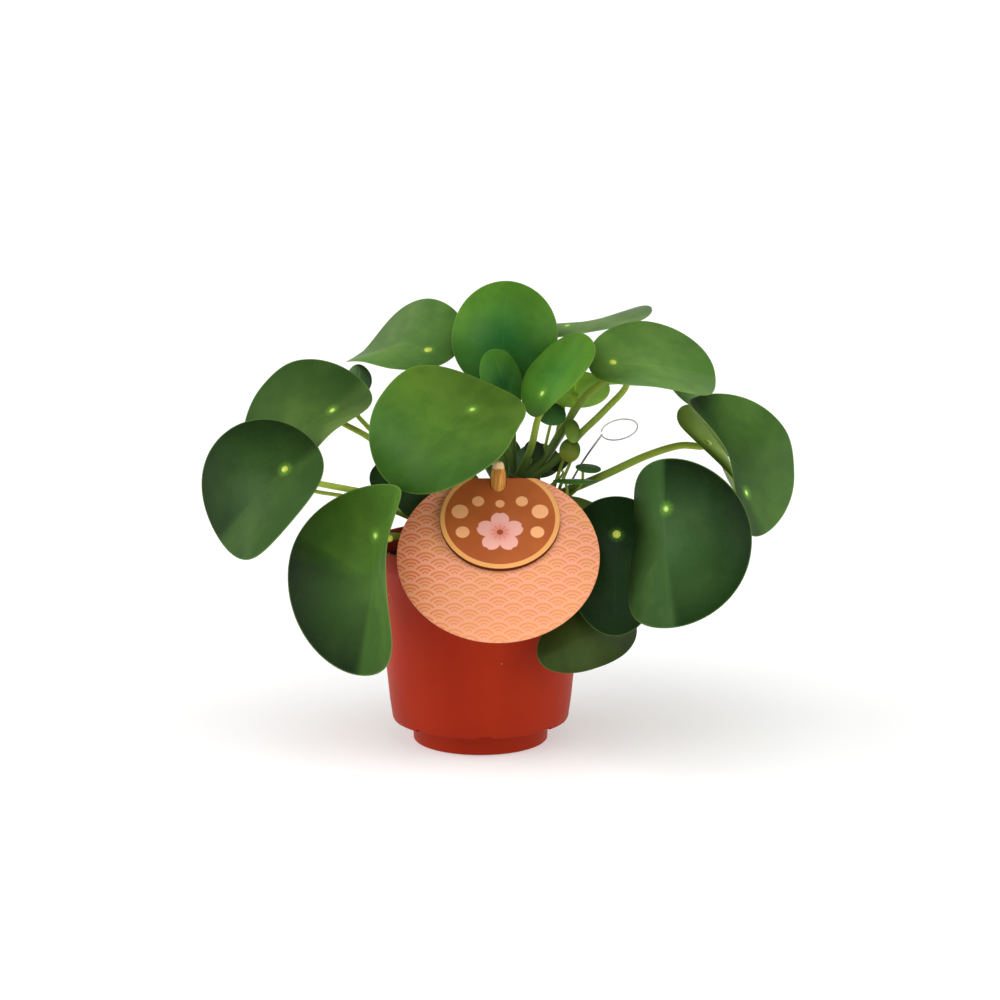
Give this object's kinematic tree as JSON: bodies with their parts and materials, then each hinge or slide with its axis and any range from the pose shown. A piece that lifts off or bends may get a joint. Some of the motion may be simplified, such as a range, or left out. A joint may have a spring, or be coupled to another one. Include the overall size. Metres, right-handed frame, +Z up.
{
  "type": "potted chinese money plant",
  "caption": "Chinese money plant with round leaves on long petioles, in a red plastic nursery pot with a round card label on a wooden peg.",
  "frame": {"origin": "middle of the underside of the pot's foot, on the surface it stands on", "axes": "+Z up along the pot's axis; -Y towards the viewer, where the label faces"},
  "size_m": [0.3184, 0.2211, 0.248],
  "materials": {
    "pot": "satin",
    "soil": "matt, crumbly potting soil",
    "stem": "satin, living green stem",
    "leaf": "satin, living green leaf",
    "card": "matt printed card",
    "badge": "satin printed card",
    "wood": "matt, bare",
    "wire": "satin"
  },
  "bodies": {
    "root": {"pot": "pot", "soil": "soil", "plant_stems": "stem", "leaf_01": "leaf", "leaf_02": "leaf", "leaf_03": "leaf", "leaf_04": "leaf", "leaf_05": "leaf", "leaf_06": "leaf", "leaf_07": "leaf", "leaf_08": "leaf", "leaf_09": "leaf", "leaf_10": "leaf", "leaf_11": "leaf", "leaf_12": "leaf", "leaf_13": "leaf", "leaf_14": "leaf", "leaf_15": "leaf", "leaf_16": "leaf", "leaf_17": "leaf", "leaf_18": "leaf", "leaf_19": "leaf", "leaf_20": "leaf", "leaf_21": "leaf", "leaf_22": "leaf", "leaf_23": "leaf", "leaf_24": "leaf", "leaf_25": "leaf", "small_01": "leaf", "small_02": "leaf", "small_03": "leaf", "small_04": "leaf", "small_05": "leaf", "small_06": "leaf", "small_07": "leaf", "small_08": "leaf", "small_09": "leaf", "small_10": "leaf", "small_11": "leaf", "peg": "wood", "tag_disc": "card", "tag_badge": "badge", "wire_loop": "wire"}
  },
  "joints": []
}
